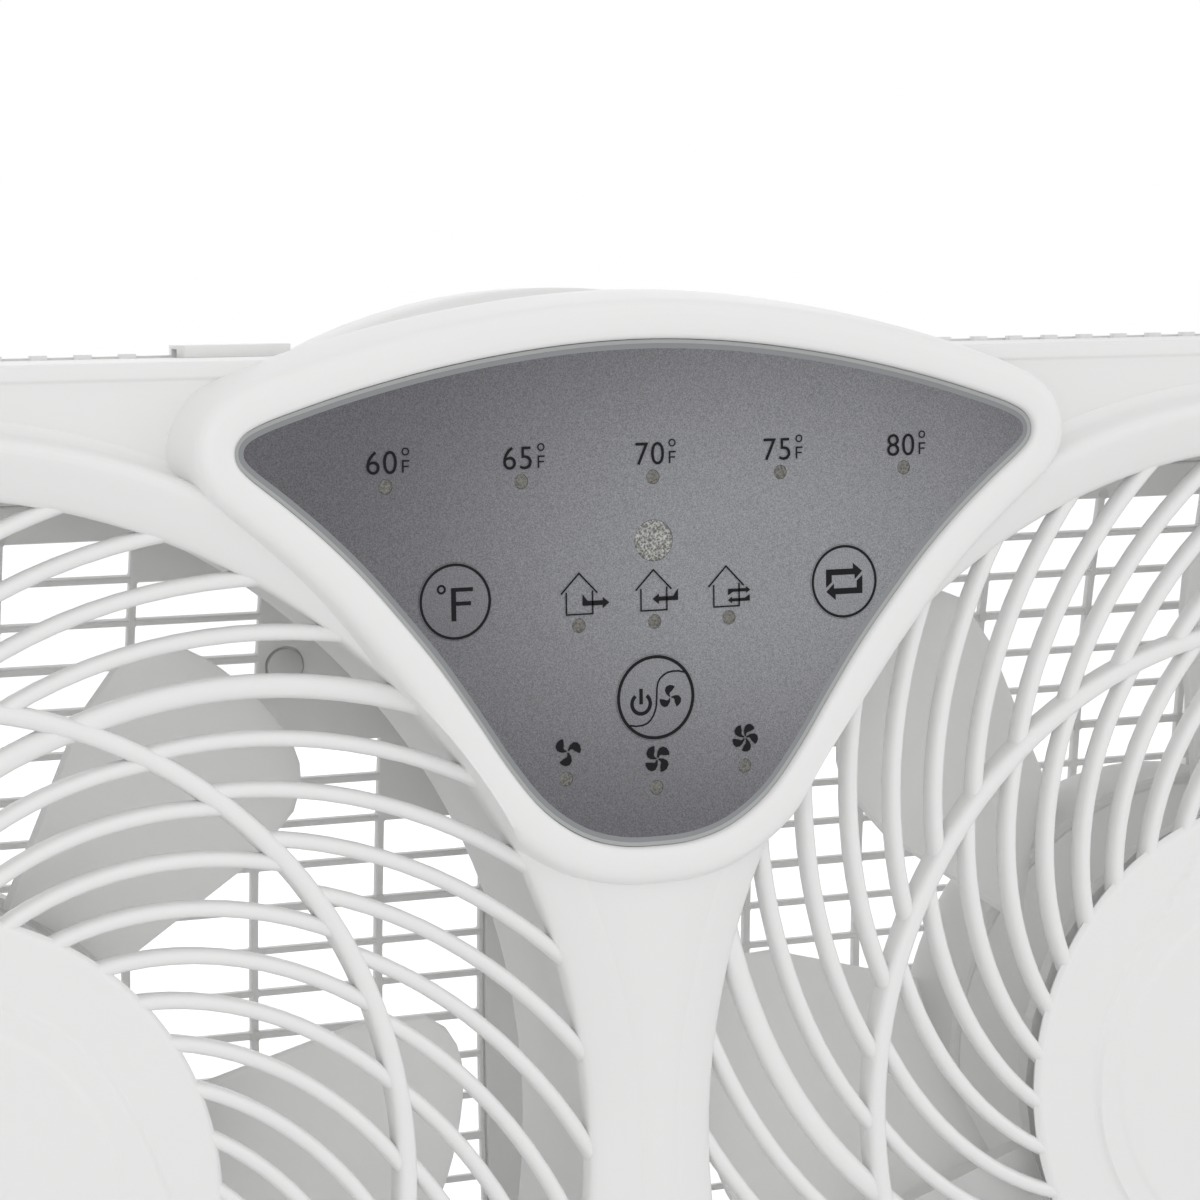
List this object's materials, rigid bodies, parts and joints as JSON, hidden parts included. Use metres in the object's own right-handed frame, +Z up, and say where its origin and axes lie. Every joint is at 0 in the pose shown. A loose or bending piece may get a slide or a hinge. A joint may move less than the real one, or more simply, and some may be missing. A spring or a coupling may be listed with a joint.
{
  "type": "window fan",
  "caption": "Twin window fan: shallow white case, two round swirl grilles with impellers, fan-shaped thermostat console with touch buttons, and sliding side panels.",
  "frame": {"origin": "under the middle of the closed fan, on the plane its base pads stand on", "axes": "+X to the right seen from the room side, +Y towards the outdoor side, +Z up; the console faces -Y"},
  "size_m": [0.604, 0.087, 0.3293],
  "materials": {
    "case_white": "fine satin moulding",
    "grille_white": "satin moulding",
    "impeller_white": "satin gloss",
    "console_grey": "fine-grained printed film",
    "clear_plastic": "clear moulding",
    "black_plastic": "moulded case",
    "circuit_board": "coated board",
    "steel": "zinc-plated",
    "motor_metal": "cast and turned",
    "pad_rubber": "matt strip"
  },
  "bodies": {
    "case": {"front_housing": "case_white", "rear_housing": "case_white", "front_grille_left": "grille_white", "front_grille_right": "grille_white", "grille_cap_left": "grille_white", "grille_cap_right": "grille_white", "rear_grille_left": "grille_white", "rear_grille_right": "grille_white", "console_bezel": "case_white", "control_overlay": "console_grey", "light_guide": "clear_plastic", "ir_window": "clear_plastic", "ir_receiver": "black_plastic", "control_board": "circuit_board", "switch_temperature": "black_plastic", "switch_mode": "black_plastic", "switch_power": "black_plastic", "temperature_sensor": "black_plastic", "motor_bracket_left": "grille_white", "motor_bracket_right": "grille_white", "motor_left": "motor_metal", "motor_right": "motor_metal", "power_board": "circuit_board", "run_capacitor": "black_plastic", "case_screw_1": "steel", "case_screw_2": "steel", "case_screw_3": "steel", "case_screw_4": "steel", "rail_top_left": "case_white", "rail_top_right": "case_white", "rail_bottom": "case_white", "carry_handle": "case_white", "base_pad_left": "pad_rubber", "base_pad_right": "pad_rubber"},
    "fan_left": {"impeller_left": "impeller_white", "motor_shaft_left": "steel", "impeller_nut_left": "impeller_white"},
    "fan_right": {"impeller_right": "impeller_white", "motor_shaft_right": "steel", "impeller_nut_right": "impeller_white"},
    "panel_left": {"expander_left": "case_white"},
    "panel_right": {"expander_right": "case_white"},
    "lock_left": {"expander_lock_left": "grille_white"},
    "lock_right": {"expander_lock_right": "grille_white"},
    "key_temperature": {"button_temperature": "console_grey"},
    "key_mode": {"button_mode": "console_grey"},
    "key_power": {"button_power": "console_grey"}
  },
  "joints": [
    {"name": "impeller_spin_left", "type": "hinge", "parent": "case", "child": "fan_left", "pos_m": [-0.1465, 0, 0.16], "axis": [0, 1, 0], "continuous": true},
    {"name": "impeller_spin_right", "type": "hinge", "parent": "case", "child": "fan_right", "pos_m": [0.1465, 0, 0.16], "axis": [0, 1, 0], "continuous": true},
    {"name": "expander_slide_left", "type": "slide", "parent": "case", "child": "panel_left", "axis": [-1, 0, 0], "range_m": [0, 0.105]},
    {"name": "expander_slide_right", "type": "slide", "parent": "case", "child": "panel_right", "axis": [1, 0, 0], "range_m": [0, 0.105]},
    {"name": "lock_slide_left", "type": "slide", "parent": "case", "child": "lock_left", "axis": [0, 1, 0], "range_m": [0, 0.0026]},
    {"name": "lock_slide_right", "type": "slide", "parent": "case", "child": "lock_right", "axis": [0, 1, 0], "range_m": [0, 0.0026]},
    {"name": "press_temperature", "type": "slide", "parent": "case", "child": "key_temperature", "axis": [0, 1, 0], "range_m": [0, 0.0005], "stiffness_N_per_m": 800},
    {"name": "press_mode", "type": "slide", "parent": "case", "child": "key_mode", "axis": [0, 1, 0], "range_m": [0, 0.0005], "stiffness_N_per_m": 800},
    {"name": "press_power", "type": "slide", "parent": "case", "child": "key_power", "axis": [0, 1, 0], "range_m": [0, 0.0005], "stiffness_N_per_m": 800}
  ]
}
